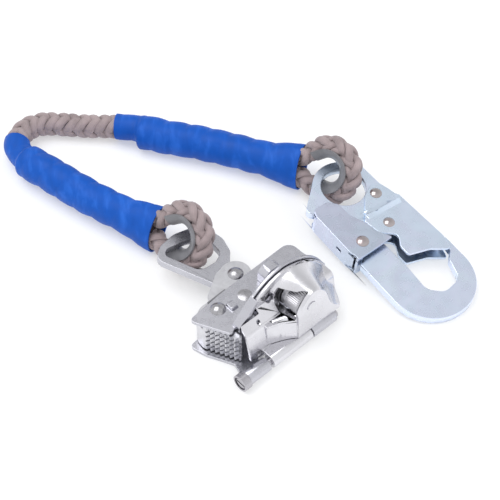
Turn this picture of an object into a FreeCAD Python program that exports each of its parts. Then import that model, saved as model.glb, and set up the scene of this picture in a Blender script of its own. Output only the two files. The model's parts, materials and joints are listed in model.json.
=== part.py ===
"""Rope grab with its ring link, a short rope lanyard and a double-locking snap hook.

All sizes are in millimetres, +Z is up and the parts lie on the plane z = 0. The grab is modelled in its own frame
(X along the cover's hinge, Y from the hinge towards the ring) and the snap hook in its own tilted frame; both are
then placed in the assembly's frame, whose origin is under the middle of the hardware.
"""
import FreeCAD, Part
import math
import os

V = FreeCAD.Vector
UP = V(0, 0, 1)

# ---- places in the assembly's frame ----
FRAME_SHIFT = V(-38.3, 24.5, 0)
GRAB_PLACE = V(32.36, -63.98, 0) + FRAME_SHIFT
GRAB_TURN = 42.6
HOOK_EYE_PLACE = V(55.0, 32.9, 0) + FRAME_SHIFT
HOOK_TURN = -51.8
HOOK_TILT = 7.2
LINK_TILT = 7.0

# ---- sheet, fits and clearances ----
SHEET = 2.0
FIT = 0.05
SIDE_GAP = 0.4

# ---- grab: cheeks, hinge and cam ----
CHANNEL = 21.5
UPPER_Z = SHEET + CHANNEL
UPPER_TOP = UPPER_Z + SHEET
HINGE_R = 4.3
HINGE_Z = 5.2
HINGE_HEAD_R = 5.15
COWL_FOOT_Z = HINGE_Z + HINGE_R + 0.3
HINGE_PIN_R = 2.0
HINGE_LEFT = (-46.5, -31.5)
HINGE_MID = (-29.2, 0.5)
HINGE_RIGHT = (1.3, 19.0)
FLANGE_Y = 19.0
LIP_X = (-37.6, -24.4)
LIP_Y = 15.4
CAM_PIVOT = V(-36, 34.5, 0)
CAM_BUSH_R = 5.5
CAM_RIVET_R = 4.0
CAM_Z = (3.0, 22.5)
TOOTH_GAP = 0.95
LINK_RIVET = V(-9.5, 49.5, 0)
LINK_RIVET_R = 3.2
LINK_WASHER_R = 4.8
PRONG_R = 9.0
PRONG_Z = ((5.0, 8.5), (17.0, 20.5))
LINK_Z = (10.2, 15.2)

# ---- grab: cover, knob and quarter-turn latch ----
COVER_X = (-37.5, 28.0)
WALL_BREAK_X = -9.0
COVER_FLANGE_Y = 16.6
KNOB_X = 0.0
KNOB_Z = 31.5
KNOB_R = 9.0
KNOB_Y = (1.0, 13.5)
SHAFT_R = 2.9
FIN_Y = (-1.8, 0.7)
SHELF_Z = (23.2, 24.8)

# ---- snap hook ----
HOOK_PLATE = 5.5
HOOK_MID = -HOOK_PLATE / 2
BOWL_R = 27.0
BOWL_X = 78.0
EYE_R = 13.5
GATE_PIVOT = V(15.6, 12.2, 0)
GATE_STOP = V(36.3, 4.4, 0)
LEVER_PIVOT = V(38.6, -18.2, 0)
GATE_SHEET = 1.8
LEVER_SHEET = 1.8
RIDGE_HALF = 3.1
RIDGE_RISE = 1.5

# ---- lanyard ----
ROPE_R = 7.0
EYE_ROPE_R = 6.3
SLEEVE_R = 10.5
SLIM_SLEEVE_R = 8.2
LOOP_R = 15.2
LOOP_REACH = 21.0
LOOP_MOUTH = 7.0
LOOP_LEAN = 56.0
LOOP_RISE = 0.30
THIMBLE_T = 1.4
THIMBLE_HALF_WIDTH = 2.4

# The route of the rope's centreline, from the grab's eye round the bend to the hook's eye.
ROUTE = [
    (-93.6, 29.9, 13.2), (-113.3, 42.5, 11.5), (-139.3, 59.5, 11.0), (-162.8, 78.0, 11.7), (-174.3, 88.0, 9.6),
    (-181.5, 97.0, 8.6), (-182.0, 106.5, 8.3), (-177.3, 115.0, 8.3), (-168.8, 119.7, 8.4), (-156.3, 119.3, 8.3),
    (-139.3, 117.7, 7.8), (-120.3, 116.8, 9.0), (-102.3, 111.5, 11.5), (-81.3, 104.0, 11.2), (-59.3, 98.0, 11.0),
    (-37.8, 90.5, 11.1), (-21.3, 84.3, 11.8), (-9.0, 78.8, 13.3),
]
# Sleeve spans count the path's pieces: run 0, arc 1, run 2 and so on.
GRAB_SLEEVE_SPANS = ((0, 6, SLEEVE_R), (6, 12, SLIM_SLEEVE_R))
HOOK_SLEEVE_SPANS = ((21, 24, SLIM_SLEEVE_R), (24, 33, SLEEVE_R))


# ---- drawing helpers ----
def outline(corners):
    """A closed wire in the XY plane from (x, y) or (x, y, corner radius) tuples.

    A radius is eased where an edge is too short for it.
    """
    count = len(corners)
    spans = []
    for i, corner in enumerate(corners):
        here = V(corner[0], corner[1], 0)
        radius = corner[2] if len(corner) > 2 else 0
        to_last = V(*corners[i - 1][:2], 0) - here
        to_next = V(*corners[(i + 1) % count][:2], 0) - here
        room = 0.49 * min(to_last.Length, to_next.Length)
        to_last.normalize()
        to_next.normalize()
        if radius == 0:
            spans.append((here, None, here))
            continue
        half = to_last.getAngle(to_next) / 2
        cut = min(radius / math.tan(half), room)
        radius = cut * math.tan(half)
        middle = here + (to_last + to_next).normalize() * (radius / math.sin(half) - radius)
        spans.append((here + to_last * cut, middle, here + to_next * cut))
    edges = []
    for i, (start, middle, end) in enumerate(spans):
        if middle:
            edges.append(Part.Arc(start, middle, end).toShape())
        following = spans[(i + 1) % count][0]
        if end.distanceToPoint(following) > 1e-6:
            edges.append(Part.LineSegment(end, following).toShape())
    return Part.Wire(edges)


def plate(corners, z_low, z_high):
    """A flat plate lying in XY between two heights."""
    solid = Part.Face(outline(corners)).extrude(UP * (z_high - z_low))
    solid.translate(UP * z_low)
    return solid


def upright(corners, y_low, y_high):
    """A plate standing in XZ between two values of Y."""
    solid = plate(corners, -y_high, -y_low)
    solid.rotate(V(), V(1, 0, 0), 90)
    return solid


def bar(corners, x_low, x_high):
    """A section drawn in YZ and run along X."""
    solid = plate(corners, x_low, x_high)
    solid.rotate(V(), V(1, 1, 1), 120)
    return solid


def post(radius, centre, z_low, z_high):
    return Part.makeCylinder(radius, z_high - z_low, V(centre.x, centre.y, z_low), UP)


def rod_x(radius, y, z, x_low, x_high):
    return Part.makeCylinder(radius, x_high - x_low, V(x_low, y, z), V(1, 0, 0))


def rod_y(radius, x, z, y_low, y_high):
    return Part.makeCylinder(radius, y_high - y_low, V(x, y_low, z), V(0, 1, 0))


def tube(outer_r, inner_r, centre, z_low, z_high):
    return post(outer_r, centre, z_low, z_high).cut(post(inner_r, centre, z_low - 1, z_high + 1))


def box(low, high):
    return Part.makeBox(high[0] - low[0], high[1] - low[1], high[2] - low[2], V(*low))


def domed_head(radius, height, centre, z, up=True):
    """A low domed rivet head whose flat side is at z."""
    ball_r = (radius ** 2 + height ** 2) / (2 * height)
    sign = 1 if up else -1
    ball = Part.makeSphere(ball_r, V(centre.x, centre.y, z + sign * (height - ball_r)))
    z_low, z_high = (z, z + height) if up else (z - height, z)
    return ball.common(post(radius, centre, z_low, z_high))


def coil(radius, wire_r, pitch, turns, centre, axis):
    """A helical spring starting at centre and rising along axis."""
    helix = Part.makeHelix(pitch, pitch * turns, radius)
    ring = Part.Wire([Part.makeCircle(wire_r, V(radius, 0, 0), V(0, 1, 0))])
    spring = Part.Wire(helix).makePipeShell([ring], True, True)
    spring.Placement = FreeCAD.Placement(centre, FreeCAD.Rotation(UP, axis))
    return spring


def in_grab(shape):
    shape.rotate(V(), UP, GRAB_TURN)
    shape.translate(GRAB_PLACE)
    return shape


def in_hook(shape):
    shape.rotate(V(), V(0, 1, 0), HOOK_TILT)
    shape.rotate(V(), UP, HOOK_TURN)
    tilt = math.radians(HOOK_TILT)
    bowl_drop = (BOWL_X + BOWL_R) * math.sin(tilt) + HOOK_PLATE * math.cos(tilt)
    shape.translate(HOOK_EYE_PLACE + UP * bowl_drop)
    return shape


# ---- grab: fixed frame ----
def arch_plate(y_low, y_high, left, margin=0.0):
    """The arched flange that stands on the upper cheek's level, drawn in XZ with two arcs over the top."""
    foot_z = UPPER_Z + 0.5
    foot_left = V(left, 0, foot_z)
    spring_left = V(left, 0, 39.8 - margin)
    crown = V(-0.5, 0, 48.6 - margin)
    spring_right = V(28.6, 0, 27.0)
    foot_right = V(28.6, 0, foot_z)
    edges = [Part.LineSegment(foot_left, spring_left).toShape(),
             Part.Arc(spring_left, V(-12.5, 0, 46.8 - margin), crown).toShape(),
             Part.Arc(crown, V(17.6, 0, 40.4 - margin), spring_right).toShape(),
             Part.LineSegment(spring_right, foot_right).toShape(),
             Part.LineSegment(foot_right, foot_left).toShape()]
    solid = Part.Face(Part.Wire(edges)).extrude(V(0, y_high - y_low, 0))
    solid.translate(V(0, y_low, 0))
    return solid


def lip():
    """The sloping strip that runs from the cheek's corner up to the left end of its flange."""
    strip = upright([(LIP_X[0], UPPER_Z), (LIP_X[0] + 3.4, UPPER_Z), (LIP_X[1], 37.4), (LIP_X[1], 40.3),
                     (LIP_X[0], 27.4)], LIP_Y, FLANGE_Y + SHEET)
    gusset = upright([(LIP_X[0] + 3.0, UPPER_Z), (LIP_X[1], UPPER_Z), (LIP_X[1], 38.5)], FLANGE_Y, FLANGE_Y + SHEET)
    return strip.fuse(gusset)


def upper_cheek():
    top = plate([(-53.5, 39.5, 2.5), (-42.0, 16.5, 2.5), (-37.5, 19.0, 3), (29.5, 19.0), (26.0, 31.0, 14),
                 (26.0, 43.2, 7), (-28.5, 41.8, 40)], UPPER_Z, UPPER_TOP)
    flange = arch_plate(FLANGE_Y, FLANGE_Y + SHEET, LIP_X[1])
    cam_stop = bar([(27.6, UPPER_TOP), (28.4, UPPER_TOP + 1.9, 1.2), (33.0, UPPER_TOP + 1.9, 1.2),
                    (33.8, UPPER_TOP)], -31.4, -27.0)
    cheek = top.fuse([flange, lip(), cam_stop])
    latch_slot = upright([(-3.4, 25.9, 3.2), (3.4, 25.9, 3.2), (3.4, 41.8, 3.2), (-3.4, 41.8, 3.2)],
                         FLANGE_Y - 1, FLANGE_Y + SHEET + 1)
    holes = [post(CAM_RIVET_R, CAM_PIVOT, UPPER_Z - 1, UPPER_TOP + 1),
             post(3.0, V(-18.5, 31.8, 0), UPPER_Z - 1, UPPER_TOP + 1), latch_slot]
    return cheek.cut(holes).removeSplitter()


def lower_cheek():
    floor = plate([(-53.5, 39.5, 2.5), (-50.8, 29.0, 10), (-43.2, 13.4, 3), (-45.5, 6.0, 1), (HINGE_RIGHT[1], 6.0, 1), (29.0, 13.0, 6),
                   (26.0, 31.0, 14), (26.0, 43.2, 7), (-28.5, 41.8, 40)], 0, SHEET)
    floor = floor.cut(box((HINGE_LEFT[1] + 0.3, -1, -1), (HINGE_RIGHT[0] - 0.3, 7.5, SHEET + 1)))
    pieces = []
    for x_range in (HINGE_LEFT, HINGE_RIGHT):
        barrel = rod_x(HINGE_R, 0, HINGE_Z, *x_range)
        tab = box((x_range[0], 0, 0), (x_range[1], 7.0, SHEET))
        pieces += [barrel, tab]
    cheek = floor.fuse(pieces)
    pin_hole = rod_x(HINGE_PIN_R, 0, HINGE_Z, -60, 40)
    return cheek.cut([pin_hole, post(CAM_RIVET_R, CAM_PIVOT, -1, SHEET + 1)]).removeSplitter()


def cheek_spacer():
    return plate([(16.5, 30, 2), (24.8, 30, 3), (24.8, 39.5, 3), (17.5, 38.0, 3)], SHEET, UPPER_Z)


def cam_pivot_rivet():
    shank = post(CAM_RIVET_R, CAM_PIVOT, 0.0, UPPER_TOP)
    return shank.fuse(domed_head(CAM_RIVET_R + 0.6, 2.4, CAM_PIVOT, UPPER_TOP)).removeSplitter()


def cam_bush():
    return tube(CAM_BUSH_R, CAM_RIVET_R, CAM_PIVOT, SHEET, UPPER_Z)


def cam_spring():
    """The torsion spring on the bush: close turns, drawn as stacked rings, and the leg to the anchor rivet."""
    wire_r = 0.6
    turns = [Part.makeTorus(7.0, wire_r, CAM_PIVOT + UP * z) for z in (19.9, 21.2)]
    leg = Part.makeCylinder(wire_r, 13.5, CAM_PIVOT + V(-0.5, 8.4, 22.7), V(11.7, 0.4, 0))
    return Part.makeCompound(turns + [leg])


def spring_anchor_rivet():
    centre = V(-18.5, 31.8, 0)
    return post(3.0, centre, 21.4, UPPER_TOP).fuse(domed_head(4.2, 0.7, centre, UPPER_TOP)).removeSplitter()


def latch_receiver():
    body = upright([(-6.5, UPPER_TOP), (-6.5, 33.5, 3), (-3.0, 36.5, 3), (3.0, 36.5, 3), (6.0, 33.5, 3),
                    (6.0, UPPER_TOP)], 28.0, 35.0)
    return body.cut(rod_y(2.6, KNOB_X, KNOB_Z, 27, 33.5))


def detent_plunger():
    shank = rod_y(2.55, KNOB_X, KNOB_Z, 26.6, 29.4)
    return shank.fuse(Part.makeSphere(2.2, V(KNOB_X, 26.9, KNOB_Z))).removeSplitter()


def detent_spring():
    return coil(1.7, 0.4, 1.3, 2.3, V(KNOB_X, 29.85, KNOB_Z), V(0, 1, 0))


def hinge_pin():
    shaft = rod_x(HINGE_PIN_R, 0, HINGE_Z, -47.2, 20.4)
    head = rod_x(HINGE_HEAD_R, 0, HINGE_Z, -51.4, -46.8)
    recess = rod_x(HINGE_HEAD_R - 1.0, 0, HINGE_Z, -52.0, -50.0)
    button = rod_x(HINGE_HEAD_R - 1.9, 0, HINGE_Z, -50.9, -50.0)
    slot = box((-51, -3, HINGE_Z - 0.5), (-49.8, 3, HINGE_Z + 0.5))
    tail = rod_x(HINGE_PIN_R + 0.7, 0, HINGE_Z, 19.3, 21.0)
    return shaft.fuse([head.cut(recess), button, tail]).cut(slot).removeSplitter()


# ---- grab: cover, knob and latch ----
def cowl_section(y, crest, foot_z):
    """A closed XZ section: a smooth crest over straight sides down to foot_z."""
    points = [V(x, y, z) for x, z in crest]
    curve = Part.BSplineCurve()
    curve.interpolate(points)
    left = V(points[0].x, y, foot_z)
    right = V(points[-1].x, y, foot_z)
    return Part.Wire([Part.LineSegment(left, points[0]).toShape(), curve.toShape(),
                      Part.LineSegment(points[-1], right).toShape(), Part.LineSegment(right, left).toShape()])


def hood(inset, y_front, foot_z):
    """The solid hood from the cover's flange out to the tongue in front of the knob, drawn in by inset."""
    sections = [
        (COVER_FLANGE_Y, -13.5, 28.4, 24.0, [(-6.0, 43.9), (2.0, 46.6), (11.0, 43.2), (20.5, 35.4)], 38.6),
        (7.5, -10.6, 26.8, 18.0, [(-5.0, 41.4), (1.6, 44.2), (9.6, 40.6), (17.2, 30.4)], 34.8),
        (y_front, -9.2, 23.0, 13.5, [(-5.8, 35.2), (1.8, 42.0), (8.4, 38.2), (13.0, 27.6)], 27.0),
    ]
    wires = []
    for y, left, right, right_z, crest, left_z in sections:
        narrow = [(x * (1 - inset / 14), z - inset) for x, z in crest]
        points = [(left + inset, left_z - inset)] + narrow + [(right - inset, right_z - inset)]
        wires.append(cowl_section(y, points, foot_z))
    return Part.makeLoft(wires, True, False)


def cowl():
    return hood(0.0, FIN_Y[0], COWL_FOOT_Z).cut(hood(1.9, FIN_Y[1], COWL_FOOT_Z - 1))


def flare():
    """The skin that swells from the cover's wall to the tongue's left edge."""
    stations = [(-25.0, 6.3, 8.6, 8.3, 24.0), (-16.5, 3.1, 5.4, 6.0, 25.6), (-8.6, -1.8, 0.5, -0.2, 28.6)]
    wires = []
    for x, y_low, y_high, y_top, z_top in stations:
        corners = [V(x, y_low, COWL_FOOT_Z), V(x, y_high, COWL_FOOT_Z), V(x, y_top + 2.3, z_top), V(x, y_top, z_top)]
        wires.append(Part.makePolygon(corners + [corners[0]]))
    return Part.makeLoft(wires, True, False)


def cover():
    wall = bar([(18.4, 34.2), (9.4, 24.6, 5), (6.4, 10.8, 2.5), (5.8, 6.6), (7.9, 6.6), (8.5, 10.6, 2),
                (11.4, 23.8, 3), (18.4, 31.3)], COVER_X[0], WALL_BREAK_X)
    low_wall = bar([(18.4, 27.0), (10.6, 26.6, 3), (9.0, 24.0, 5), (6.4, 10.8, 2.5), (5.8, 6.6), (7.9, 6.6),
                    (8.5, 10.6, 2), (11.0, 23.4, 3), (18.4, 25.0)], WALL_BREAK_X, COVER_X[1])
    flange = arch_plate(COVER_FLANGE_Y, COVER_FLANGE_Y + SHEET, LIP_X[1] + 0.5, 1.5)
    barrel = rod_x(HINGE_R, 0, HINGE_Z, *HINGE_MID)
    barrel_top = HINGE_Z + HINGE_R
    strap = box((HINGE_MID[0], 0, barrel_top - SHEET), (HINGE_MID[1], 8.0, barrel_top))
    shelf = plate([(-25.0, 7.4), (-16.5, 4.4), (-8.6, -0.4), (-8.6, 17.0), (-25.0, 17.0)], *SHELF_Z)
    shape = wall.fuse([low_wall, flange, barrel, strap, cowl(), flare(), shelf])
    window = box((-12.6, FIN_Y[1], SHELF_Z[1]), (8.5, COVER_FLANGE_Y - 1.6, 37.5))
    window = window.fuse(box((-12.6, FIN_Y[1], 37.0), (3.5, COVER_FLANGE_Y - 1.6, 40.5)))
    eyelet = rod_y(1.2, -26.7, 27.0, 8.0, 16.0)
    under_lip = box((-40, LIP_Y - 0.8, 20), (LIP_X[1] + 0.4, 30, 60))
    slot = upright([(-17.2, 31.0, 2.2), (-12.6, 31.0, 2.2), (-12.6, 38.0, 2.2), (-17.2, 38.0, 2.2)],
                   COVER_FLANGE_Y - 2.6, COVER_FLANGE_Y + SHEET + 1)
    cuts = [window, eyelet, under_lip, slot, rod_x(HINGE_PIN_R + FIT, 0, HINGE_Z, -60, 40),
            rod_y(KNOB_R + 1.2, KNOB_X, KNOB_Z, FIN_Y[1], COVER_FLANGE_Y),
            rod_y(SHAFT_R + FIT, KNOB_X, KNOB_Z, -5, 20)]
    return shape.cut(cuts).removeSplitter()


def knob():
    body = rod_y(KNOB_R, KNOB_X, KNOB_Z, *KNOB_Y)
    body = body.makeChamfer(0.8, body.Edges)
    return body.cut(rod_y(SHAFT_R, KNOB_X, KNOB_Z, 0, 20))


def knob_shaft():
    """The latch shaft: peened outer end, journal through the knob and a T head behind the cheek's flange."""
    shaft = rod_y(SHAFT_R, KNOB_X, KNOB_Z, -2.3, 19.8)
    neck = rod_y(2.3, KNOB_X, KNOB_Z, 19.8, 22.0)
    head = upright([(-2.5, 26.6, 1.5), (2.5, 26.6, 1.5), (2.5, 36.4, 1.5), (-2.5, 36.4, 1.5)], 21.9, 24.4)
    return shaft.fuse([neck, head]).removeSplitter()


def knob_washers():
    washers = []
    for y_low, y_high, radius in ((15.2, 16.6, 9.8), (13.8, 15.0, 9.4)):
        ring = rod_y(radius, KNOB_X, KNOB_Z, y_low, y_high)
        washers.append(ring.cut(rod_y(SHAFT_R + 0.4, KNOB_X, KNOB_Z, y_low - 1, y_high + 1)))
    return Part.makeCompound(washers)


# ---- grab: cam and ring link ----
def cam():
    face = [(-49.0, 33.0, 4), (-47.2, 27.5), (-43.6, 20.2), (-40.9, 12.9, 0.8), (-38.6, 12.2, 1.0)]
    back = [(-30.5, 23.0, 8), (-26.0, 30.0, 6), (-26.5, 40.0, 8), (-38.0, 46.5, 10), (-48.0, 40.5, 8)]
    z_low, z_high = CAM_Z
    body = plate(face + back, z_low, z_high)
    arms = []
    for z_pair in PRONG_Z:
        arms.append(plate([(-31.0, 28.0, 2), (-12.0, 41.5, 12), (-6.0, 56.0, 9), (-16.0, 58.0, 9),
                           (-36.0, 45.5, 8)], *z_pair))
        arms.append(post(PRONG_R, LINK_RIVET, *z_pair))
    spring_room = [post(9.2, CAM_PIVOT, 18.8, z_high + 1), box((-60, 33, 20.5), (-10, 60, z_high + 1))]
    shape = body.fuse(arms).cut(spring_room)
    grooves = []
    columns = 7
    first = V(-47.9, 29.6, 0)
    last = V(-40.9, 13.6, 0)
    for i in range(columns):
        spot = first + (last - first) * (i / (columns - 1))
        groove = box((-TOOTH_GAP, -TOOTH_GAP, z_low - 1), (TOOTH_GAP, TOOTH_GAP, z_high + 1))
        groove.rotate(V(), UP, 45 + 23)
        groove.translate(V(spot.x, spot.y, 0))
        grooves.append(groove)
    rim = plate([(-52, 31), (-44, 10), (-37.4, 10), (-39.7, 16.0), (-46.2, 31.5)], z_low, z_high)
    for row in range(4):
        z = 6.6 + 4.1 * row
        grooves.append(rim.common(box((-60, 0, z - 0.65), (-30, 40, z + 0.65))))
    grooves.append(post(CAM_BUSH_R + FIT, CAM_PIVOT, z_low - 1, z_high + 1))
    grooves.append(post(LINK_RIVET_R, LINK_RIVET, z_low - 1, z_high + 1))
    return shape.cut(grooves).removeSplitter()


def link_rivet():
    low = PRONG_Z[0][0]
    high = PRONG_Z[1][1]
    shank = post(LINK_RIVET_R, LINK_RIVET, low, high)
    heads = [domed_head(4.6, 2.3, LINK_RIVET, high), domed_head(4.6, 1.6, LINK_RIVET, low, up=False)]
    return shank.fuse(heads).removeSplitter()


def link_washers():
    gaps = ((PRONG_Z[0][1], LINK_Z[0]), (LINK_Z[1], PRONG_Z[1][0]))
    return Part.makeCompound([tube(LINK_WASHER_R, LINK_RIVET_R, LINK_RIVET, low + 0.1, high - 0.1) for low, high in gaps])


def rivet_in_frame():
    spot = Part.Vertex(LINK_RIVET)
    in_grab(spot)
    return spot.Point


def eye_link():
    """The ring, drawn from its rivet boss (origin) out along +X, its far end lifted, then placed at the rivet."""
    thick = LINK_Z[1] - LINK_Z[0]
    ring = plate([(4.0, 8.2), (4.0, -7.6, 2), (8.4, -9.6, 3), (11.6, -17.4, 6), (19.0, -23.6, 8), (28.6, -25.8, 9),
                  (38.6, -22.0, 10), (45.6, -12.6, 10), (48.6, -1.6, 8), (47.0, 8.4, 7)], 0, thick)
    hole = plate([(16.0, -6.0, 6), (16.0, -14.0, 5), (27.0, -19.0, 8), (37.2, -12.8, 14), (44.5, -1.5, 5),
                  (43.5, 3.4, 4), (21.0, 3.4, 7)], -1, thick + 1)
    ring = ring.cut(hole)
    ring = ring.fuse(plate([(-1, -7.0), (9, -7.6), (9, 8.2), (-1, 7.0)], 0, thick))
    ring.rotate(V(6.6, 0, 0), V(0, 1, 0), -LINK_TILT)
    ring = ring.cut(box((-20, -40, -5), (5.0, 20, 20)))
    neck = plate([(0, -7.2), (6.6, -7.4), (6.6, 7.9), (0, 7.2)], 0.0, thick)
    boss = post(8.0, V(), 0, thick)
    shape = ring.fuse([boss, neck]).cut(post(LINK_RIVET_R + FIT, V(), -5, thick + 5)).removeSplitter()
    shape.rotate(V(), UP, 156.5)
    shape.translate(rivet_in_frame() + UP * LINK_Z[0])
    return shape


# ---- snap hook ----
def hook_body():
    blank = plate([(-15.6, -9.4), (2.0, -30.5, 5), (7.5, -23.6, 3), (47.6, -23.6, 1), (47.8, -27.0, 1),
                   (BOWL_X + BOWL_R, -BOWL_R, BOWL_R - 0.1), (BOWL_X + BOWL_R, BOWL_R, BOWL_R - 0.1),
                   (30.0, 26.5), (30.0, 20.9), (-8.0, 19.5, 2)], -HOOK_PLATE, 0)
    eye = post(18.6, V(0, 0.5, 0), -HOOK_PLATE, 0)
    mouth = plate([(22.2, 40), (22.2, -2.0, 5), (30.0, -6.5, 4), (66.0, -5.6, 20), (82.5, -6.6, 8), (90.3, 1.0, 7),
                   (88.3, 14.0, 7), (75.0, 17.8, 4), (70.5, 22.6, 1), (62.0, 23.8, 0.5), (62.0, 40)], -10, 5)
    spring_pocket = Part.makeCylinder(2.1, 20, V(12.0, -30, HOOK_MID), V(0, 1, 0)).common(
        box((0, -30, -10), (30, -16.0, 5)))
    cuts = [post(EYE_R, V(0, 0.5, 0), -10, 5), mouth, spring_pocket, post(2.4, GATE_PIVOT, -10, 5),
            post(2.4, LEVER_PIVOT, -10, 5)]
    return blank.fuse(eye).cut(cuts).removeSplitter()


def both_faces(corners, lift, sheet):
    """Two equal cheeks, one over the top face of the plate and one under the bottom face."""
    return [plate(corners, lift, lift + sheet), plate(corners, -HOOK_PLATE - lift - sheet, -HOOK_PLATE - lift)]


def joggle_ridge(face_z, rise):
    """The ridge pressed across a gate cheek, rising from the face at face_z by rise."""
    bottom = V(25.2, -3.4, face_z)
    top = V(26.8, 20.4, face_z)
    wires = []
    for spot, half_width, peak in ((bottom, RIDGE_HALF, rise * 0.5), (top, RIDGE_HALF, rise)):
        corners = [spot - V(half_width, 0, 0), spot + V(half_width, 0, 0), spot + V(0, 0, peak)]
        wires.append(Part.makePolygon(corners + [corners[0]]))
    return Part.makeLoft(wires, True, True)


def gate():
    near = [(13.0, 6.0, 4), (24.5, -4.0), (24.5, 22.2), (17.0, 20.6, 5), (7.0, 17.5, 6)]
    far = [(24.0, -3.4), (28.0, -7.0, 3), (38.5, -5.2, 3), (45.5, 3.4, 4), (53.0, -1.2, 4), (60.0, -1.2, 2),
           (64.2, 12.0, 9), (71.2, 21.8, 1.5), (62.0, 24.7, 1), (24.0, 22.6)]
    low_lift = SIDE_GAP
    high_lift = SIDE_GAP + 0.8
    pieces = both_faces(near, low_lift, GATE_SHEET) + both_faces(far, high_lift, GATE_SHEET)
    pieces += both_faces([(22.6, -1.5), (25.4, -3.6), (25.4, 22.3), (22.6, 21.6)], low_lift, GATE_SHEET + 0.8)
    web_low = -HOOK_PLATE - high_lift - GATE_SHEET
    web_high = high_lift + GATE_SHEET
    pieces += [joggle_ridge(web_high - 0.05, RIDGE_RISE), joggle_ridge(web_low + 0.05, -RIDGE_RISE)]
    pieces.append(plate([(24.0, 20.6), (61.2, 22.7), (61.2, 24.7, 1), (24.0, 22.6)], web_low, web_high))
    pivot_hole = post(2.2 + FIT, GATE_PIVOT, -20, 20)
    stop_hole = post(1.8, GATE_STOP, -20, 20)
    first = pieces[0]
    return first.fuse(pieces[1:]).cut([pivot_hole, stop_hole]).removeSplitter()


def through_rivet(centre, shank_r, head_r, reach):
    """A rivet through the plate and the cheeks on both faces, with a domed head at each end."""
    low = -HOOK_PLATE - reach
    shank = post(shank_r, centre, low, reach)
    heads = [domed_head(head_r, 1.5, centre, reach), domed_head(head_r, 1.5, centre, low, up=False)]
    return shank.fuse(heads).removeSplitter()


def gate_rivet():
    collar = post(2.4, GATE_PIVOT, -HOOK_PLATE, 0)
    return through_rivet(GATE_PIVOT, 2.2, 3.6, SIDE_GAP + GATE_SHEET + 0.1).fuse(collar).removeSplitter()


def gate_stop_rivet():
    return through_rivet(GATE_STOP, 1.8, 3.5, SIDE_GAP + 0.8 + GATE_SHEET)


def gate_spring():
    return coil(2.9, 0.6, 1.5, 3.2, GATE_STOP + UP * (HOOK_MID - 2.4), UP)


def lever_outline():
    return [(5.0, -27.5, 3), (5.6, -17.5, 4), (10.0, -13.0, 3), (20.5, -12.4, 8), (29.0, -8.2, 6), (38.0, -6.6, 4),
            (46.2, -1.6, 0.8), (47.0, -27.5, 2.0), (40.0, -29.3, 10), (10.0, -29.3, 4)]


def lock_lever():
    lift = SIDE_GAP + 0.8 + GATE_SHEET + 0.35
    reach = lift + LEVER_SHEET
    cheeks = both_faces(lever_outline(), lift, LEVER_SHEET)
    web = plate([(5.6, -27.5, 1), (46.2, -27.5, 0.8), (40.0, -29.3, 10), (10.0, -29.3, 4)], -HOOK_PLATE - reach, reach)
    end = box((44.8, -28.2, -HOOK_PLATE - reach), (46.6, -24.2, reach))
    shape = cheeks[0].fuse([cheeks[1], web, end])
    slot = box((29.5, -35, HOOK_MID - 1.1), (33.5, -26, HOOK_MID + 1.1))
    return shape.cut([post(2.2 + FIT, LEVER_PIVOT, -20, 20), slot]).removeSplitter()


def lever_rivet():
    reach = SIDE_GAP + 0.8 + GATE_SHEET + 0.35 + LEVER_SHEET + 0.1
    collar = post(2.4, LEVER_PIVOT, -HOOK_PLATE, 0)
    return through_rivet(LEVER_PIVOT, 2.2, 3.8, reach).fuse(collar).removeSplitter()


def lever_spring():
    return coil(1.5, 0.4, 1.3, 5.4, V(12.0, -24.2, HOOK_MID), V(0, 1, 0))


# ---- lanyard ----
def bent_path(points):
    """Straight runs joined by tangent arcs; prints each arc's radius."""
    corners = [V(*p) for p in points]
    edges = []
    start = corners[0]
    radii = []
    for last, here, following in zip(corners, corners[1:], corners[2:]):
        to_last = (last - here).normalize()
        to_next = (following - here).normalize()
        half_turn = (math.pi - to_last.getAngle(to_next)) / 2
        cut = 0.45 * min(last.distanceToPoint(here), here.distanceToPoint(following))
        radius = cut / math.tan(half_turn)
        radii.append(round(radius, 1))
        middle = here + (to_last + to_next).normalize() * (radius / math.cos(half_turn) - radius)
        edges.append(Part.LineSegment(start, here + to_last * cut).toShape())
        edges.append(Part.Arc(here + to_last * cut, middle, here + to_next * cut).toShape())
        start = here + to_next * cut
    edges.append(Part.LineSegment(start, corners[-1]).toShape())
    return edges, radii


def tube_along(edges, radius):
    path = Part.Wire(edges)
    first = edges[0]
    start = first.valueAt(first.FirstParameter)
    heading = first.tangentAt(first.FirstParameter)
    ring = Part.Wire([Part.makeCircle(radius, start, heading)])
    return path.makePipeShell([ring], True, False)


def lanyard_rope():
    edges, radii = bent_path(ROUTE)
    print("arc radii of the rope, mm:", radii)
    length = sum(edge.Length for edge in edges)
    solid = tube_along(edges, ROPE_R)
    print("rope length %.1f mm, volume ratio %.4f" % (length, solid.Volume / (length * math.pi * ROPE_R ** 2)))
    return solid


def sleeve(spans):
    edges, _ = bent_path(ROUTE)
    shells = []
    for first, last, radius in spans:
        span = edges[first:last]
        shells.append(tube_along(span, radius).cut(tube_along(span, ROPE_R)))
    return shells[0].fuse(shells[1:])


def loop_frame(end, before):
    """Origin and unit vectors (outwards, sideways, normal) of an eye loop at one end of the route."""
    outwards = V(end[0] - before[0], end[1] - before[1], 0).normalize()
    outwards = (outwards + UP * LOOP_RISE).normalize()
    level = UP.cross(outwards).normalize()
    upwards = outwards.cross(level)
    lean = math.radians(LOOP_LEAN)
    sideways = level * math.cos(lean) + upwards * math.sin(lean)
    return V(*end), outwards, sideways


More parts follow.
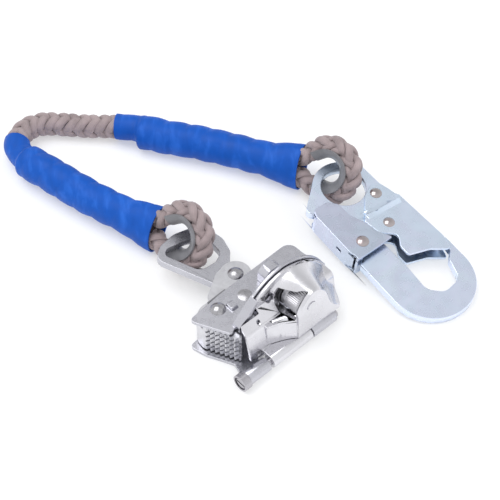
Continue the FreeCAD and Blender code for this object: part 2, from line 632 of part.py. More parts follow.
def loop_path(frame, inset, mouth):
    """Throat, tangent line, bend and tangent line back, drawn at a radius inset from the rope's centreline."""
    origin, out, side = frame
    radius = LOOP_R - inset
    slope = math.asin((radius - mouth) / LOOP_REACH)
    for _ in range(20):
        slope = math.atan((radius * math.cos(slope) - mouth) / (LOOP_REACH - radius * math.sin(slope)))
    tangent = (LOOP_REACH - radius * math.sin(slope), radius * math.cos(slope))

    def at(along, across):
        return origin + out * along + side * across

    return [Part.LineSegment(at(0, mouth), at(*tangent)).toShape(),
            Part.Arc(at(*tangent), at(LOOP_REACH + radius, 0), at(tangent[0], -tangent[1])).toShape(),
            Part.LineSegment(at(tangent[0], -tangent[1]), at(0, -mouth)).toShape()]


def eye_loop(frame):
    return tube_along(loop_path(frame, 0, LOOP_MOUTH), EYE_ROPE_R)


def thimble(frame):
    """A flat strip bent round the inside of an eye loop, open at the throat."""
    _, out, side = frame
    normal = out.cross(side)
    outer = loop_path(frame, EYE_ROPE_R + 0.1, 1.6)
    inner = loop_path(frame, EYE_ROPE_R + 0.1 + THIMBLE_T, 0.4)
    ends = [(outer[2].Vertexes[-1].Point, inner[2].Vertexes[-1].Point),
            (inner[0].Vertexes[0].Point, outer[0].Vertexes[0].Point)]
    caps = [Part.LineSegment(a, b).toShape() for a, b in ends]
    edges = Part.__sortEdges__(outer + inner + caps)
    strip = Part.Face(Part.Wire(edges)).extrude(normal * (2 * THIMBLE_HALF_WIDTH))
    strip.translate(normal * -THIMBLE_HALF_WIDTH)
    return strip


# ---- the assembly ----
def grab_parts():
    makers = [upper_cheek, lower_cheek, cheek_spacer, cam_pivot_rivet, cam_bush, cam_spring, spring_anchor_rivet,
              latch_receiver, detent_plunger, detent_spring, hinge_pin, cover, knob, knob_shaft, knob_washers,
              cam, link_rivet, link_washers]
    return {maker.__name__: in_grab(maker()) for maker in makers}


def hook_parts():
    makers = [hook_body, gate, gate_rivet, gate_stop_rivet, gate_spring, lock_lever, lever_rivet, lever_spring]
    return {maker.__name__: in_hook(maker()) for maker in makers}


def lanyard_parts():
    grab_end = loop_frame(ROUTE[0], ROUTE[1])
    hook_end = loop_frame(ROUTE[-1], ROUTE[-2])
    return {
        "lanyard_rope": lanyard_rope(),
        "grab_end_sleeve": sleeve(GRAB_SLEEVE_SPANS),
        "hook_end_sleeve": sleeve(HOOK_SLEEVE_SPANS),
        "grab_eye_loop": eye_loop(grab_end),
        "hook_eye_loop": eye_loop(hook_end),
        "grab_thimble": thimble(grab_end),
        "hook_thimble": thimble(hook_end),
    }


def main():
    os.makedirs("parts", exist_ok=True)
    parts = {**grab_parts(), "eye_link": eye_link(), **hook_parts(), **lanyard_parts()}
    for name, shape in parts.items():
        shape.exportStep("parts/" + name + ".step")
        bounds = shape.BoundBox
        print("%-20s solids %d valid %s  x %.1f %.1f  y %.1f %.1f  z %.1f %.1f" % (
            name, len(shape.Solids), shape.isValid(), bounds.XMin, bounds.XMax, bounds.YMin, bounds.YMax,
            bounds.ZMin, bounds.ZMax))


main()
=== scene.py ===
"""The looks of a rope grab on a short sleeved rope lanyard with a snap hook.

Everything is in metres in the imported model's frame: +Z up from the surface that the parts lie on, the
grab in front, the lanyard's bend at the left and the snap hook at the right.
"""
import json
import math

import bpy
import numpy as np
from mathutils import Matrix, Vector, noise


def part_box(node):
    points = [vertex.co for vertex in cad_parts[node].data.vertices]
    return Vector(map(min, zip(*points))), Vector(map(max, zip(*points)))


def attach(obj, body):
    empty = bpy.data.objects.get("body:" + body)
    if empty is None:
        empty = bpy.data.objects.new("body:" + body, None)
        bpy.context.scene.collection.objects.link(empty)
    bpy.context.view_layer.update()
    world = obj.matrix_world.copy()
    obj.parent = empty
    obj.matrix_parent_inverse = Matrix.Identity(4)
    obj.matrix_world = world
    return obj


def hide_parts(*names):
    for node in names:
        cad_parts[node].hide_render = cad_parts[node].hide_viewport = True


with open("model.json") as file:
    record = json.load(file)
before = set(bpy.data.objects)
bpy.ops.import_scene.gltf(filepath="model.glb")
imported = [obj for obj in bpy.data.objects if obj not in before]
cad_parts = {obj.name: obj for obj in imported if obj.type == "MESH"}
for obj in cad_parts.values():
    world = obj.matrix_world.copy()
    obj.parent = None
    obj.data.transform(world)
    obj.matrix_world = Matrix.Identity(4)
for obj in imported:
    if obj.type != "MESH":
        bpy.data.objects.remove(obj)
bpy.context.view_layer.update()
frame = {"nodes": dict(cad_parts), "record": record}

MM = 0.001

# ---- camera ----
VIEW_CENTRE = Vector((-38.3, 24.5, 0.0)) * MM
VIEW_DISTANCE = 0.9
VIEW_ELEVATION = math.radians(50.5)
LENS = 110.2
SENSOR = 36.0

# ---- the rope's route, from the grab's eye round the bend to the hook's eye ----
ROUTE = [
    (-0.0936, 0.0299, 0.0132), (-0.1133, 0.0425, 0.0115), (-0.1393, 0.0595, 0.0110), (-0.1628, 0.0780, 0.0117),
    (-0.1743, 0.0880, 0.0096), (-0.1815, 0.0970, 0.0086), (-0.1820, 0.1065, 0.0083), (-0.1773, 0.1150, 0.0083),
    (-0.1688, 0.1197, 0.0084), (-0.1563, 0.1193, 0.0083), (-0.1393, 0.1177, 0.0078), (-0.1203, 0.1168, 0.0090),
    (-0.1023, 0.1115, 0.0115), (-0.0813, 0.1040, 0.0112), (-0.0593, 0.0980, 0.0110), (-0.0378, 0.0905, 0.0111),
    (-0.0213, 0.0843, 0.0118), (-0.0090, 0.0788, 0.0133),
]
ROPE_R = 7.5 * MM
CORE_R = 5.0 * MM
EYE_ROPE_R = 6.5 * MM
BRAID_LEAD = 26 * MM
EYE_BRAID_LEAD = 32 * MM
TWIN_SPREAD = 0.68
FACE_TURN = math.radians(-50)

# ---- sleeves: measured along the rope from the mouth at the eye ----
SLEEVE_R = 10.4 * MM
SLIM_SLEEVE_R = 8.0 * MM
SLEEVE_WALL = 0.9 * MM
MOUTH_HALF_WIDTH = 14.2 * MM
MOUTH_HALF_DEPTH = 9.4 * MM
MOUTH_LENGTH = 26 * MM
BULGE_PITCH = 14 * MM
BULGE_HEIGHT = 0.75 * MM
STEP_SAG = 1.6 * MM

# ---- where the bare rope and the slimmer sleeves begin and end, as shares of the rope's length ----
BARE_SHARES = (0.385, 0.612)
SLIM_SHARES = (0.325, 0.664)
BRAID_TUCK = 6 * MM

# ---- eye loops ----
LOOP_R = 15.2 * MM
LOOP_REACH = 21 * MM
LOOP_LEAN = math.radians(56)
LOOP_RISE = 0.30
THIMBLE_WALL = 1.2 * MM
THIMBLE_HALF_ANGLE = math.radians(76)
THIMBLE_TAIL = 5 * MM

# ---- knob, in the grab's own axes ----
GRAB_TURN = math.radians(42.6)
KNOB_R = 9.0 * MM
KNOB_RIBS = 46
RIB_DEPTH = 0.55 * MM


# ---- meshes ----
def link(obj):
    bpy.context.scene.collection.objects.link(obj)
    return obj


def loft(rings, closed=True, wrap=False, caps=True):
    """Vertices, faces and UVs of a skin over rings of equally many points.

    closed joins each ring's last point to its first, wrap joins the last ring to the first.
    """
    rings = np.asarray(rings, float)
    count, around = rings.shape[:2]
    faces = []
    uvs = []
    across = around if closed else around - 1
    for i in range(count if wrap else count - 1):
        j = (i + 1) % count
        for k in range(across):
            m = (k + 1) % around
            faces.append((i * around + k, i * around + m, j * around + m, j * around + k))
            u, v = i / count, k / around
            uvs.append(((u, v), (u, v + 1 / around), (u + 1 / count, v + 1 / around), (u + 1 / count, v)))
    if caps and not wrap:
        first = tuple(reversed(range(around)))
        last = tuple(range((count - 1) * around, count * around))
        for cap in (first, last):
            faces.append(cap)
            uvs.append(tuple((0.0, 0.0) for _ in cap))
    return rings.reshape(-1, 3), faces, uvs


def mesh_piece(name, parts, materials, sharp=None):
    """One object from several (vertices, faces, uvs, material index) skins."""
    points, faces, uvs, slots = [], [], [], []
    for vertices, part_faces, part_uvs, index in parts:
        start = len(points)
        points.extend(map(tuple, vertices))
        faces.extend(tuple(start + v for v in face) for face in part_faces)
        uvs.extend(part_uvs)
        slots.extend([index] * len(part_faces))
    data = bpy.data.meshes.new(name)
    data.from_pydata(points, [], faces)
    layer = data.uv_layers.new(name="UVMap")
    flat = [value for face in uvs for pair in face for value in pair]
    layer.data.foreach_set("uv", flat)
    for material in materials:
        data.materials.append(material)
    data.polygons.foreach_set("material_index", slots)
    data.polygons.foreach_set("use_smooth", [True] * len(faces))
    if sharp:
        data.set_sharp_from_angle(angle=math.radians(sharp))
    data.update()
    return link(bpy.data.objects.new(name, data))


def nurbs(name, points, radius=0.0):
    data = bpy.data.curves.new(name, "CURVE")
    data.dimensions = "3D"
    data.resolution_u = 24
    data.bevel_depth = radius
    data.bevel_resolution = 5
    data.use_fill_caps = True
    spline = data.splines.new("NURBS")
    spline.points.add(len(points) - 1)
    for point, place in zip(spline.points, points):
        point.co = (*place, 1.0)
    spline.order_u = 3
    spline.use_endpoint_u = True
    return link(bpy.data.objects.new(name, data))


class Path:
    """A line read from a NURBS spline, with a steady pair of cross directions along it."""

    def __init__(self, points, reference):
        guide = nurbs("guide", points)
        mesh = bpy.data.meshes.new_from_object(guide)
        self.line = np.array([v.co for v in mesh.vertices], float)
        bpy.data.meshes.remove(mesh)
        bpy.data.objects.remove(guide)
        steps = np.linalg.norm(np.diff(self.line, axis=0), axis=1)
        self.along = np.concatenate([[0.0], np.cumsum(steps)])
        self.length = self.along[-1]
        self.reference = np.asarray(reference, float)
        self.tangents = unit(np.gradient(self.line, self.along, axis=0))

    def frames(self, s):
        """Centres, directions, and the two cross directions at the lengths s."""
        centres = np.stack([np.interp(s, self.along, self.line[:, i]) for i in range(3)], 1)
        ahead = unit(np.stack([np.interp(s, self.along, self.tangents[:, i]) for i in range(3)], 1))
        over = np.clip(s - self.length, 0, None) + np.clip(s, None, 0)
        centres = centres + ahead * over[:, None]
        first = unit(self.reference - ahead * (ahead @ self.reference)[:, None])
        return centres, ahead, first, np.cross(ahead, first)


def unit(vectors):
    return vectors / np.linalg.norm(vectors, axis=-1, keepdims=True)


def braid_parts(path, start, end, radius, lead, index=0):
    """A square plait of eight strands: two pairs in each hand, each passing over and under the other's."""
    s = np.arange(start, end, 0.8 * MM)
    centres, _, first, second = path.frames(s)
    rate = 2 * math.pi / lead
    middle = 0.53 * radius
    swing = 0.18 * radius
    half_width = 0.37 * radius
    half_depth = 0.28 * radius
    around = 12
    parts = []
    for hand in (1, -1):
        for pair_start in (0, math.pi):
            for twin in (-TWIN_SPREAD, TWIN_SPREAD):
                turned = hand * rate * s + pair_start + twin
                lift = np.tanh(1.8 * np.cos(2 * turned)) / math.tanh(1.8)
                angle = turned + FACE_TURN
                reach = middle + hand * swing * lift
                out = first * np.cos(angle)[:, None] + second * np.sin(angle)[:, None]
                line = centres + out * reach[:, None]
                ahead = unit(np.gradient(line, axis=0))
                out = unit(out - ahead * np.sum(out * ahead, 1)[:, None])
                across = np.cross(ahead, out)
                rings = []
                for j in range(around):
                    turn = 2 * math.pi * j / around
                    rings.append(
                        line + across * math.cos(turn) * half_width + out * math.sin(turn) * half_depth)
                vertices, faces, uvs = loft(np.stack(rings, 1))
                parts.append((vertices, faces, uvs, index))
    return parts


def tube_parts(path, start, end, radius, index=0, around=20):
    s = np.linspace(start, end, max(8, int((end - start) / (2 * MM))))
    centres, _, first, second = path.frames(s)
    turns = np.linspace(0, 2 * math.pi, around, endpoint=False)
    rings = [centres + radius * (first * math.cos(t) + second * math.sin(t)) for t in turns]
    return [(*loft(np.stack(rings, 1)), index)]


# ---- materials ----
class Shader:
    """A material with a Principled shader and short calls for its nodes."""

    def __init__(self, name, colour, metallic, roughness, **constants):
        self.material = bpy.data.materials.new(name)
        self.material.use_nodes = True
        self.tree = self.material.node_tree
        self.shader = self.tree.nodes["Principled BSDF"]
        self.shader.inputs["Base Color"].default_value = (*colour, 1.0)
        self.shader.inputs["Metallic"].default_value = metallic
        self.shader.inputs["Roughness"].default_value = roughness
        for socket, value in constants.items():
            self.shader.inputs[socket.replace("_", " ")].default_value = value
        self.places = self.tree.nodes.new("ShaderNodeTexCoord")

    def node(self, kind, **settings):
        made = self.tree.nodes.new(kind)
        for key, value in settings.items():
            setattr(made, key, value)
        return made

    def join(self, source, target):
        self.tree.links.new(source, target)

    def stretched(self, scale, turn=0.0, space="Object"):
        mapping = self.node("ShaderNodeMapping")
        mapping.inputs["Scale"].default_value = scale
        mapping.inputs["Rotation"].default_value = (0, 0, turn)
        self.join(self.places.outputs[space], mapping.inputs["Vector"])
        return mapping.outputs["Vector"]

    def noise(self, scale, detail=3.0, vector=None, distortion=0.0):
        made = self.node("ShaderNodeTexNoise")
        made.inputs["Scale"].default_value = scale
        made.inputs["Detail"].default_value = detail
        made.inputs["Distortion"].default_value = distortion
        self.join(vector or self.places.outputs["Object"], made.inputs["Vector"])
        return made.outputs["Fac"]

    def ramp(self, value, stops):
        made = self.node("ShaderNodeValToRGB")
        elements = made.color_ramp.elements
        while len(elements) < len(stops):
            elements.new(0.5)
        for element, (place, colour) in zip(elements, stops):
            element.position = place
            element.color = (*colour, 1.0)
        self.join(value, made.inputs["Fac"])
        return made.outputs["Color"]

    def span(self, value, low, high, start=0.3, end=0.7):
        made = self.node("ShaderNodeMapRange")
        for socket, number in (("From Min", start), ("From Max", end), ("To Min", low), ("To Max", high)):
            made.inputs[socket].default_value = number
        self.join(value, made.inputs["Value"])
        return made.outputs["Result"]

    def add(self, first, second, share=1.0):
        made = self.node("ShaderNodeMath", operation="MULTIPLY_ADD")
        self.join(second, made.inputs[0])
        made.inputs[1].default_value = share
        self.join(first, made.inputs[2])
        return made.outputs[0]

    def colour(self, output):
        self.join(output, self.shader.inputs["Base Color"])

    def roughness(self, output):
        self.join(output, self.shader.inputs["Roughness"])

    def bump(self, height, strength, distance):
        made = self.node("ShaderNodeBump")
        made.inputs["Strength"].default_value = strength
        made.inputs["Distance"].default_value = distance
        self.join(height, made.inputs["Height"])
        self.join(made.outputs["Normal"], self.shader.inputs["Normal"])


def tones(colour, spread):
    """Darker, plain and lighter versions of a colour."""
    return [tuple(min(1.0, c * f) for c in colour) for f in (1 - spread, 1.0, 1 + spread)]


def steel(name, colour, roughness, spread=0.10, grain_turn=0.0, brushed=0.10, mottle=70):
    """Satin steel: cloudy tone, rubbed patches and a fine brushed grain."""
    look = Shader(name, colour, 1.0, roughness)
    dark, plain, light = tones(colour, spread)
    cloud = look.noise(mottle, 4.0, distortion=0.6)
    look.colour(look.ramp(cloud, [(0.25, dark), (0.5, plain), (0.75, light)]))
    grain = look.noise(1.0, 2.0, look.stretched((300, 5200, 5200), grain_turn))
    rubbed = look.noise(260, 5.0)
    look.roughness(look.span(look.add(rubbed, grain, 0.3), roughness - 0.04, roughness + 0.06, 0.4, 0.9))
    look.bump(look.add(grain, rubbed, 0.3), brushed, 0.00002)
    return look.material


def zinc(name, colour, roughness, spread=0.07):
    """Zinc plate: pale bluish with faint lavender clouds and a soft orange-peel surface."""
    look = Shader(name, colour, 1.0, roughness)
    warm = (min(1, colour[0] * 1.05), colour[1] * 0.985, colour[2] * 1.01)
    dark, plain, light = tones(colour, spread)
    cloud = look.noise(38, 5.0, distortion=0.8)
    look.colour(look.ramp(cloud, [(0.2, dark), (0.45, plain), (0.6, warm), (0.8, light)]))
    peel = look.noise(700, 2.0)
    look.roughness(look.span(look.noise(120, 4.0), roughness - 0.04, roughness + 0.06))
    look.bump(peel, 0.02, 0.00003)
    return look.material


def rope_yarn(name, colour, dark):
    """Braided rope: fine yarns along each strand, dusty tone changes, and a darkest tone of painted shade that
    the noise scatters along the strands.
    """
    look = Shader(name, colour, 0.0, 0.82, Sheen_Weight=0.25, Sheen_Roughness=0.5, Specular_IOR_Level=0.3)
    yarns = look.node("ShaderNodeTexWave", wave_type="BANDS", bands_direction="Y", wave_profile="SIN")
    yarns.inputs["Scale"].default_value = 5.0
    yarns.inputs["Distortion"].default_value = 1.6
    yarns.inputs["Detail"].default_value = 2.0
    yarns.inputs["Detail Scale"].default_value = 6.0
    look.join(look.places.outputs["UV"], yarns.inputs["Vector"])
    fibres = look.noise(2600, 4.0)
    cloud = look.noise(120, 4.0)
    mixed = look.add(look.span(cloud, 0.15, 0.85), yarns.outputs["Fac"], 0.22)
    mixed = look.add(mixed, fibres, 0.25)
    shades = tones(colour, 0.16)
    # the first stop is painted shade, spread by the noise
    look.colour(look.ramp(mixed, [(0.12, dark), (0.4, shades[0]), (0.7, shades[1]), (1.0, shades[2])]))
    look.bump(look.add(yarns.outputs["Fac"], fibres, 0.8), 0.55, 0.00022)
    return look.material


# Painted shade: a near-black tube under the braid, so the gaps between strands read dark; fine noise tones on
# top.
def rope_core(name, colour):
    look = Shader(name, colour, 0.0, 0.95)
    look.colour(look.ramp(look.noise(700, 3.0), [(0.3, tones(colour, 0.4)[0]), (0.7, tones(colour, 0.3)[2])]))
    look.bump(look.noise(1500, 3.0), 0.4, 0.0002)
    return look.material


def shrink_sleeve(name, colour):
    """Blue heat-shrunk sleeve: soft satin, with paler streaks of painted highlight that lean round the rope.
    """
    look = Shader(name, colour, 0.0, 0.5, Specular_IOR_Level=0.22)
    # painted highlight: long pale streaks that lean round the rope; the patches add random tone
    highlight_streaks = look.noise(1.0, 3.0, look.stretched((170, 45, 90), math.radians(35)), distortion=0.4)
    patches = look.noise(60, 3.0)
    mixed = look.add(look.span(highlight_streaks, 0.0, 0.8), look.span(patches, 0.0, 1.0), 0.3)
    highlight_pale = (colour[0] + 0.012, colour[1] * 1.45, colour[2] * 1.25)
    look.colour(look.ramp(mixed, [(0.15, tones(colour, 0.12)[0]), (0.6, colour), (1.0, highlight_pale)]))
    creases = look.noise(1.0, 4.0, look.stretched((420, 120, 300), math.radians(35)))
    look.roughness(look.span(patches, 0.44, 0.56))
    look.bump(look.add(creases, look.noise(1300, 2.0), 0.2), 0.2, 0.0003)
    return look.material


def moulded(name, colour, roughness):
    """Hard moulded plastic with a fine spark texture and worn paler spots."""
    look = Shader(name, colour, 0.0, roughness, Specular_IOR_Level=0.45)
    worn = look.noise(160, 5.0)
    shades = tones(colour, 0.18)
    look.colour(look.ramp(worn, [(0.3, shades[0]), (0.55, shades[1]), (0.8, shades[2])]))
    look.roughness(look.span(worn, roughness - 0.06, roughness + 0.08))
    look.bump(look.noise(2400, 3.0), 0.18, 0.00008)
    return look.material


MATERIALS = {
    "stainless_sheet": steel("stainless_sheet", (0.55, 0.55, 0.595), 0.27, 0.05, GRAB_TURN, 0.03),
    "bright_cover": steel("bright_cover", (0.72, 0.715, 0.75), 0.24, 0.05, GRAB_TURN, 0.04, 45),
    "stainless_rivets": steel("stainless_rivets", (0.42, 0.415, 0.435), 0.26, 0.20, 0.3, 0.10, 500),
    "turned_steel": steel("turned_steel", (0.74, 0.74, 0.77), 0.24, 0.08, GRAB_TURN + math.pi / 2, 0.10),
    "knurl_steel": steel("knurl_steel", (0.46, 0.455, 0.48), 0.32, 0.08, GRAB_TURN + math.pi / 2, 0.04),
    "pin_steel": steel("pin_steel", (0.46, 0.45, 0.48), 0.26, 0.10, GRAB_TURN, 0.05),
    "dark_washer": steel("dark_washer", (0.16, 0.16, 0.17), 0.42, 0.2, 0.2, 0.2, 300),
    "tooth_steel": steel("tooth_steel", (0.66, 0.66, 0.69), 0.30, 0.10, 0.0, 0.08, 240),
    "spring_steel": steel("spring_steel", (0.30, 0.30, 0.32), 0.35, 0.15),
    "bronze_bush": steel("bronze_bush", (0.60, 0.42, 0.22), 0.36, 0.15),
    "zinc_plate": zinc("zinc_plate", (0.73, 0.84, 0.98), 0.27),
    "zinc_lever": zinc("zinc_lever", (0.60, 0.675, 0.80), 0.27),
    "zinc_rivets": zinc("zinc_rivets", (0.46, 0.415, 0.415), 0.20, 0.24),
    # the second colour is painted shade, the braid's darkest tone
    "rope": rope_yarn("rope", (0.33, 0.265, 0.27), (0.10, 0.072, 0.078)),
    # near-black painted shade for the gaps between the strands
    "rope_core": rope_core("rope_core", (0.045, 0.03, 0.033)),
    "sleeve": shrink_sleeve("sleeve", (0.002, 0.082, 0.44)),
    "thimble": moulded("thimble", (0.20, 0.20, 0.215), 0.38),
}
FINISH = {
    "cover": "bright_cover", "knob_washers": "dark_washer", "cam": "tooth_steel", "lock_lever": "zinc_lever",
    "knob_shaft": "turned_steel", "hinge_pin": "pin_steel",
}


# ---- carried-over metal ----
def soften(node, width, angle=38):
    """Round the edges of a CAD piece without touching its own vertices."""
    weld = node.modifiers.new("weld", "WELD")
    weld.merge_threshold = 0.002 * MM
    planar = node.modifiers.new("planar", "DECIMATE")
    planar.decimate_type = "DISSOLVE"
    planar.angle_limit = math.radians(0.6)
    bevel = node.modifiers.new("bevel", "BEVEL")
    bevel.width = width
    bevel.segments = 2
    bevel.limit_method = "ANGLE"
    bevel.angle_limit = math.radians(angle)
    bevel.use_clamp_overlap = False
    bevel.harden_normals = True
    bevel.miter_outer = "MITER_ARC"


def finish_metal():
    slots = {row["node"]: row["material_slot"] for row in frame["record"]["subparts"]}
    for name, node in frame["nodes"].items():
        look = FINISH.get(name, slots[name])
        if look not in MATERIALS:
            continue
        node.data.materials.clear()
        node.data.materials.append(MATERIALS[look])
    for name in ("hook_body", "gate", "lock_lever", "eye_link", "upper_cheek", "lower_cheek", "cover"):
        soften(frame["nodes"][name], 0.35 * MM)
    for name in ("latch_receiver",):
        soften(frame["nodes"][name], 0.5 * MM)


# ---- lanyard ----
def loop_axes(end, before):
    """Outwards, sideways and normal directions of the eye loop at one end of the route."""
    outwards = Vector((end[0] - before[0], end[1] - before[1], 0)).normalized()
    outwards = (outwards + Vector((0, 0, LOOP_RISE))).normalized()
    level = Vector((0, 0, 1)).cross(outwards).normalized()
    upwards = outwards.cross(level)
    sideways = level * math.cos(LOOP_LEAN) + upwards * math.sin(LOOP_LEAN)
    return outwards, sideways, outwards.cross(sideways)


def eye_points(end, before):
    """Control points of the rope in an eye: one leg, the bend and the other leg."""
    outwards, sideways, _ = loop_axes(end, before)
    origin = Vector(end)
    legs = [(-15 * MM, 3.0 * MM), (-6 * MM, 4.0 * MM), (3 * MM, 6.6 * MM), (9.5 * MM, 10.2 * MM)]
    step = math.radians(33.5)
    bend_r = LOOP_R / math.cos(step / 2)
    bend = []
    for k in range(-3, 4):
        angle = -k * step
        bend.append((LOOP_REACH + bend_r * math.cos(angle), bend_r * math.sin(angle)))
    flat = legs + bend + [(along, -across) for along, across in reversed(legs)]
    return [origin + outwards * along + sideways * across for along, across in flat]


def eye_loop(name, end, before):
    _, _, normal = loop_axes(end, before)
    path = Path(eye_points(end, before), normal)
    parts = braid_parts(path, 0, path.length, EYE_ROPE_R, EYE_BRAID_LEAD)
    # a thin inner tube in the near-black painted shade, showing dark in the gaps between the strands
    parts += tube_parts(path, 0, path.length, 0.46 * EYE_ROPE_R, 1)
    return mesh_piece(name, parts, [MATERIALS["rope"], MATERIALS["rope_core"]])


def thimble(name, end, before):
    """A trough that lines the inside of an eye, hugging the rope, with two tails in the sleeve's mouth."""
    outwards, sideways, normal = loop_axes(end, before)
    origin = Vector(end)
    tail = math.radians(112)
    rings = []
    bend = [(-tail + 2 * tail * k / 36, 0.0) for k in range(37)]
    stations = [(-tail, THIMBLE_TAIL), *bend, (tail, THIMBLE_TAIL)]
    inner_r = EYE_ROPE_R + 0.15 * MM
    outer_r = inner_r + THIMBLE_WALL
    arc = np.linspace(-THIMBLE_HALF_ANGLE, THIMBLE_HALF_ANGLE, 13)
    for angle, back in stations:
        radial = outwards * math.cos(angle) + sideways * math.sin(angle)
        along = sideways * math.cos(angle) - outwards * math.sin(angle)
        sign = 1 if angle > 0 else -1
        centre = origin + outwards * LOOP_REACH + radial * LOOP_R + along * sign * back
        ring = [centre - radial * inner_r * math.cos(a) + normal * inner_r * math.sin(a) for a in arc]
        ring += [centre - radial * outer_r * math.cos(a) + normal * outer_r * math.sin(a)
                 for a in reversed(arc)]
        rings.append([tuple(p) for p in ring])
    return mesh_piece(name, [(*loft(rings), 0)], [MATERIALS["thimble"]], sharp=50)


def ease(value, start, end):
    """0 before start, 1 after end, smooth between."""
    t = np.clip((value - start) / (end - start), 0, 1)
    return t * t * (3 - 2 * t)


def sleeve(name, path, mouth_at, far_at, step_at, axes, seed, sag_share):
    """A shrunk sleeve: flat wide mouth at the eye, round body over the braid's lobes, and a slim far end.

    Places are lengths along the rope. The body steps down to the slim size at step_at.
    """
    _, sideways, _ = axes
    low, high = sorted((mouth_at, far_at))
    s = np.arange(low, high + 0.4 * MM, 0.8 * MM)
    centres, _, first, second = path.frames(s)
    from_mouth = np.abs(s - mouth_at)
    slim = ease(from_mouth, abs(step_at - mouth_at) - 1.5 * MM, abs(step_at - mouth_at) + 1.5 * MM)
    radius = SLEEVE_R + (SLIM_SLEEVE_R - SLEEVE_R) * slim
    flare = 1 - ease(from_mouth, 0, MOUTH_LENGTH)
    half_width = radius + (MOUTH_HALF_WIDTH - radius) * flare
    half_depth = radius + (MOUTH_HALF_DEPTH - radius) * flare
    side = np.array(sideways)
    lean = np.arctan2(second @ side, first @ side)
    down = np.array((0, -math.sin(VIEW_ELEVATION), -math.cos(VIEW_ELEVATION)))
    past_step = abs(step_at - mouth_at) - from_mouth
    sag = STEP_SAG * (1 - slim) * (1 - ease(past_step, 4 * MM, 42 * MM)) * sag_share
    around = 72
    outer, inner = [], []
    for i in range(len(s)):
        ring, lining = [], []
        for k in range(around):
            angle = 2 * math.pi * k / around
            bearing = angle - lean[i]
            oval = 1 / math.hypot(math.cos(bearing) / half_width[i], math.sin(bearing) / half_depth[i])
            place = Vector((s[i] * 95, math.cos(angle) * 0.9 + seed, math.sin(angle) * 0.9))
            crumple = noise.noise(place) + 0.4 * noise.noise(place * 2.7)
            turns = s[i] / BULGE_PITCH + angle / (2 * math.pi) + 0.12 * noise.noise(place * 0.5)
            bulge = BULGE_HEIGHT * (abs(math.cos(math.pi * turns)) ** 0.8 - 0.6) * (1 - 0.5 * slim[i])
            height = bulge * (1 - 0.7 * flare[i]) + 0.28 * MM * crumple
            direction = first[i] * math.cos(angle) + second[i] * math.sin(angle)
            centre = centres[i] + down * sag[i]
            ring.append(centre + direction * (oval + height))
            lining.append(centre + direction * (oval + height - SLEEVE_WALL))
        outer.append(ring)
        inner.append(lining)
    rings = outer + inner[::-1]
    return mesh_piece(name, [(*loft(rings, wrap=True, caps=False), 0)], [MATERIALS["sleeve"]], sharp=60)


def lanyard():
    path = Path(ROUTE, (0, 0, 1))
    grab_axes = loop_axes(ROUTE[0], ROUTE[1])
    hook_axes = loop_axes(ROUTE[-1], ROUTE[-2])
    bare_start, bare_end = [share * path.length for share in BARE_SHARES]
    slim_start, slim_end = [share * path.length for share in SLIM_SHARES]
    # a near-black tube under the braid, painted shade for the gaps between the strands
    shade_tube = nurbs("lanyard_shade_tube", ROUTE, CORE_R)
    shade_tube.data.materials.append(MATERIALS["rope_core"])
    pieces = {
        "lanyard_braid": mesh_piece(
            "lanyard_braid",
            braid_parts(path, bare_start - BRAID_TUCK, bare_end + BRAID_TUCK, ROPE_R, BRAID_LEAD),
            [MATERIALS["rope"]]),
        "grab_sleeve": sleeve("grab_sleeve", path, -2 * MM, bare_start, slim_start, grab_axes, 3.0, 0.5),
        "hook_sleeve": sleeve("hook_sleeve", path, path.length + 2 * MM, bare_end, slim_end, hook_axes, 11.0,
                              1.0),
        "grab_eye_braid": eye_loop("grab_eye_braid", ROUTE[0], ROUTE[1]),
        "hook_eye_braid": eye_loop("hook_eye_braid", ROUTE[-1], ROUTE[-2]),
        "grab_eye_thimble": thimble("grab_eye_thimble", ROUTE[0], ROUTE[1]),
        "hook_eye_thimble": thimble("hook_eye_thimble", ROUTE[-1], ROUTE[-2]),
    }
    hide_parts("lanyard_rope")
    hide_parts("grab_end_sleeve")
    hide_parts("hook_end_sleeve")
    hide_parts("grab_eye_loop")
    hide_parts("hook_eye_loop")
    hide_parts("grab_thimble")
    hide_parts("hook_thimble")
    for piece in [shade_tube, *pieces.values()]:
        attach(piece, "lanyard")
        if "sleeve" in piece.name:
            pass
        elif "thimble" in piece.name:
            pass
        else:
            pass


# ---- knob ----
def knurled_knob():
    """The locking knob, turned about the grab's Y direction: ribs, a smooth collar and eased ends."""
    low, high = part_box("knob")
    axis = Vector((-math.sin(GRAB_TURN), math.cos(GRAB_TURN), 0))
    right = Vector((math.cos(GRAB_TURN), math.sin(GRAB_TURN), 0))
    up = Vector((0, 0, 1))
    middle = (low + high) / 2
    half = 6.25 * MM
    bore = 2.95 * MM
    stations = [(-half, bore, 0), (-half, KNOB_R - 1.3 * MM, 0), (-half + 0.5 * MM, KNOB_R - 0.6 * MM, 0),
                (-half + 1.0 * MM, KNOB_R - 0.1 * MM, 1), (2.6 * MM, KNOB_R, 1),
                (3.0 * MM, KNOB_R - 0.5 * MM, 0), (3.4 * MM, KNOB_R - 0.1 * MM, 0),
                (half - 0.5 * MM, KNOB_R - 0.1 * MM, 0),
                (half, KNOB_R - 0.7 * MM, 0), (half, bore, 0)]
    per_rib = 6
    around = KNOB_RIBS * per_rib
    rings = []
    for along, radius, ribbed in stations:
        ring = []
        for k in range(around):
            angle = 2 * math.pi * k / around
            dip = abs(2 * (k % per_rib) / per_rib - 1) ** 1.5 * RIB_DEPTH * ribbed
            reach = radius - dip
            outwards = right * math.cos(angle) + up * math.sin(angle)
            ring.append(tuple(middle + axis * along + outwards * reach))
        rings.append(ring)
    piece = mesh_piece("knurled_knob", [(*loft(rings, wrap=True, caps=False), 0)],
                       [MATERIALS["knurl_steel"]], 28)
    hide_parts("knob")
    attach(piece, "knob")


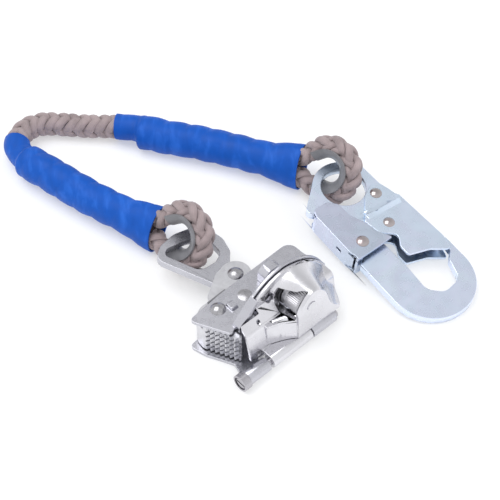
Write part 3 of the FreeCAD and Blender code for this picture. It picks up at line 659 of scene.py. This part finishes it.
# ---- studio ----
def add_camera():
    data = bpy.data.cameras.new("camera")
    data.lens = LENS
    data.sensor_width = SENSOR
    data.clip_start = 0.01
    camera = link(bpy.data.objects.new("camera", data))
    towards_camera = Vector((0, -math.cos(VIEW_ELEVATION), math.sin(VIEW_ELEVATION)))
    camera.location = VIEW_CENTRE + towards_camera * VIEW_DISTANCE
    camera.rotation_euler = towards_camera.to_track_quat("Z", "Y").to_euler()
    bpy.context.scene.camera = camera


def add_floor():
    half = 3.0
    corners = [(-half, -half, 0), (half, -half, 0), (half, half, 0), (-half, half, 0)]
    look = Shader("studio_floor", (0.58, 0.583, 0.588), 0.0, 0.8, Specular_IOR_Level=0.1,
                  Emission_Color=(1.0, 1.0, 1.0, 1.0), Emission_Strength=0.4)
    floor = mesh_piece("studio_floor", [(corners, [(0, 1, 2, 3)], [((0, 0), (1, 0), (1, 1), (0, 1))], 0)],
                       [look.material])
    floor.location.z = -0.0002


def add_world():
    """A white tent with one greyer panel where level faces look, so that they read against upright ones."""
    world = bpy.data.worlds.new("studio")
    world.use_nodes = True
    tree = world.node_tree
    background = tree.nodes["Background"]
    background.inputs["Strength"].default_value = 1.0
    places = tree.nodes.new("ShaderNodeTexCoord")
    facing = tree.nodes.new("ShaderNodeVectorMath")
    facing.operation = "DOT_PRODUCT"
    facing.inputs[1].default_value = (0, math.cos(VIEW_ELEVATION), math.sin(VIEW_ELEVATION))
    tree.links.new(places.outputs["Generated"], facing.inputs[0])
    spread = tree.nodes.new("ShaderNodeMapRange")
    spread.inputs["From Min"].default_value = -1.0
    spread.inputs["From Max"].default_value = 1.0
    tree.links.new(facing.outputs["Value"], spread.inputs["Value"])
    ramp = tree.nodes.new("ShaderNodeValToRGB")
    tree.links.new(spread.outputs["Result"], ramp.inputs["Fac"])
    stops = [(0.0, 0.95), (0.6, 1.0), (0.78, 0.92), (0.92, 0.74), (1.0, 0.68)]
    elements = ramp.color_ramp.elements
    while len(elements) < len(stops):
        elements.new(0.5)
    for element, (place, value) in zip(elements, stops):
        element.position = place
        element.color = (value * 0.985, value * 0.99, value, 1.0)
    tree.links.new(ramp.outputs["Color"], background.inputs["Color"])
    bpy.context.scene.world = world


def add_lamp(name, place, size, power, glossy):
    data = bpy.data.lights.new(name, "AREA")
    data.shape = "SQUARE"
    data.size = size
    data.energy = power
    lamp = link(bpy.data.objects.new(name, data))
    lamp.location = place
    lamp.rotation_euler = (Vector(place) - VIEW_CENTRE).to_track_quat("Z", "Y").to_euler()
    lamp.visible_glossy = glossy


add_world()
add_lamp("key", (-0.5, 0.15, 1.25), 1.0, 8.0, True)
add_lamp("side", (0.9, -0.35, 0.7), 0.7, 3.0, False)
bpy.context.scene.view_settings.view_transform = "Standard"
add_camera()
add_floor()
lanyard()
finish_metal()
knurled_knob()
